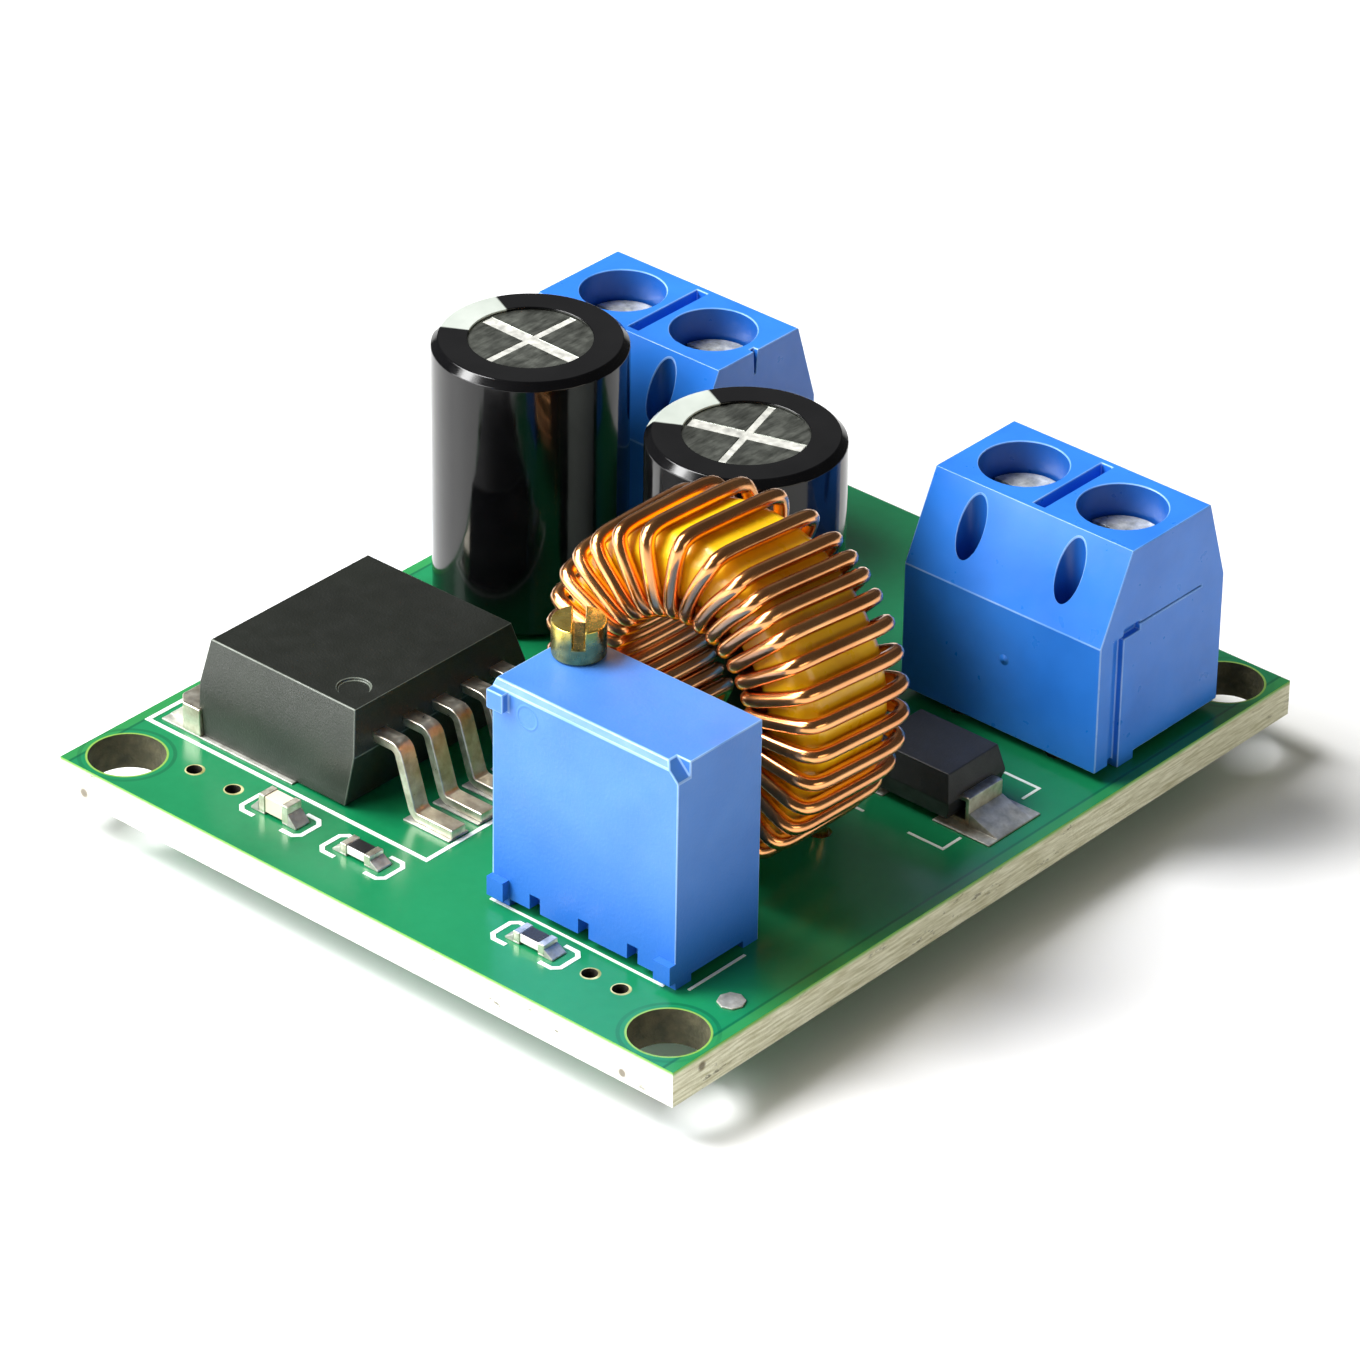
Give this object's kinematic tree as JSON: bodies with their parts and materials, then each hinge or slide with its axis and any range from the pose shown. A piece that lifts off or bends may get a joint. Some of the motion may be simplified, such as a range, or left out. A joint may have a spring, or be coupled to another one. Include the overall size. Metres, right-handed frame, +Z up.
{
  "type": "boost converter module",
  "caption": "Small circuit board that steps a voltage up, with screw terminals, a wound ring inductor, capacitors, a regulator and a trimmer.",
  "frame": {"origin": "under the middle of the board, level with the clipped ends of the leads", "axes": "+X along the board's front edge to the trimmer's side, +Y to the terminals at the back, +Z up from the board"},
  "size_m": [0.033, 0.0384, 0.0182],
  "materials": {
    "green_board": "gloss",
    "solder": "satin",
    "tinned_metal": "satin",
    "terminal_blue": "satin",
    "screw_steel": "satin",
    "trimmer_blue": "satin",
    "brass": "satin",
    "regulator_black": "matt",
    "core_yellow": "satin",
    "copper_wire": "gloss",
    "aluminium_can": "satin",
    "black_sleeve": "gloss",
    "diode_black": "matt",
    "cream_ceramic": "satin",
    "white_ceramic": "satin"
  },
  "bodies": {
    "board": {"chip_capacitor_body": "cream_ceramic", "chip_capacitor_ends": "tinned_metal", "chip_resistor_1_body": "white_ceramic", "chip_resistor_1_ends": "tinned_metal", "chip_resistor_2_body": "white_ceramic", "chip_resistor_2_ends": "tinned_metal", "circuit_board": "green_board", "diode_body": "diode_black", "diode_terminals": "tinned_metal", "inductor_core": "core_yellow", "inductor_winding": "copper_wire", "input_capacitor_can": "aluminium_can", "input_capacitor_leads": "tinned_metal", "input_capacitor_sleeve": "black_sleeve", "input_terminal_contacts": "tinned_metal", "input_terminal_housing": "terminal_blue", "output_capacitor_can": "aluminium_can", "output_capacitor_leads": "tinned_metal", "output_capacitor_sleeve": "black_sleeve", "output_terminal_contacts": "tinned_metal", "output_terminal_housing": "terminal_blue", "regulator_body": "regulator_black", "regulator_leads": "tinned_metal", "regulator_tab": "tinned_metal", "solder_pads": "solder", "trimmer_housing": "trimmer_blue", "trimmer_pins": "tinned_metal", "underside_solder": "solder"},
    "input_terminal_screw_1": {"input_terminal_screw_1": "screw_steel"},
    "input_terminal_clamp_1": {"input_terminal_clamp_1": "tinned_metal"},
    "input_terminal_screw_2": {"input_terminal_screw_2": "screw_steel"},
    "input_terminal_clamp_2": {"input_terminal_clamp_2": "tinned_metal"},
    "output_terminal_screw_1": {"output_terminal_screw_1": "screw_steel"},
    "output_terminal_clamp_1": {"output_terminal_clamp_1": "tinned_metal"},
    "output_terminal_screw_2": {"output_terminal_screw_2": "screw_steel"},
    "output_terminal_clamp_2": {"output_terminal_clamp_2": "tinned_metal"},
    "trimmer_screw": {"trimmer_screw": "brass"}
  },
  "joints": [
    {"name": "input_terminal_clamp_1_lift", "type": "slide", "parent": "board", "child": "input_terminal_clamp_1", "axis": [0, 0, 1], "range_m": [0, 0.00225]},
    {"name": "input_terminal_screw_1_turn", "type": "hinge", "parent": "board", "child": "input_terminal_screw_1", "pos_m": [-0.01396, 0.01184, 0.0118], "axis": [0, 0, -1], "range_deg": [0, 1801]},
    {"name": "input_terminal_clamp_2_lift", "type": "slide", "parent": "board", "child": "input_terminal_clamp_2", "axis": [0, 0, 1], "range_m": [0, 0.00225]},
    {"name": "input_terminal_screw_2_turn", "type": "hinge", "parent": "board", "child": "input_terminal_screw_2", "pos_m": [-0.00888, 0.01184, 0.0118], "axis": [0, 0, -1], "range_deg": [0, 1801]},
    {"name": "output_terminal_clamp_1_lift", "type": "slide", "parent": "board", "child": "output_terminal_clamp_1", "axis": [0, 0, 1], "range_m": [0, 0.00225]},
    {"name": "output_terminal_screw_1_turn", "type": "hinge", "parent": "board", "child": "output_terminal_screw_1", "pos_m": [0.00784, 0.01184, 0.0118], "axis": [0, 0, -1], "range_deg": [0, 1801]},
    {"name": "output_terminal_clamp_2_lift", "type": "slide", "parent": "board", "child": "output_terminal_clamp_2", "axis": [0, 0, 1], "range_m": [0, 0.00225]},
    {"name": "output_terminal_screw_2_turn", "type": "hinge", "parent": "board", "child": "output_terminal_screw_2", "pos_m": [0.01293, 0.01184, 0.0118], "axis": [0, 0, -1], "range_deg": [0, 1801]},
    {"name": "trimmer_screw_turn", "type": "hinge", "parent": "board", "child": "trimmer_screw", "pos_m": [0.00451, -0.01125, 0.01319], "axis": [0, 0, 1], "continuous": true}
  ],
  "couplings": [
    {"joint": "input_terminal_screw_1_turn", "follows": "input_terminal_clamp_1_lift", "rad_per_m": 13963},
    {"joint": "input_terminal_screw_2_turn", "follows": "input_terminal_clamp_2_lift", "rad_per_m": 13963},
    {"joint": "output_terminal_screw_1_turn", "follows": "output_terminal_clamp_1_lift", "rad_per_m": 13963},
    {"joint": "output_terminal_screw_2_turn", "follows": "output_terminal_clamp_2_lift", "rad_per_m": 13963}
  ]
}
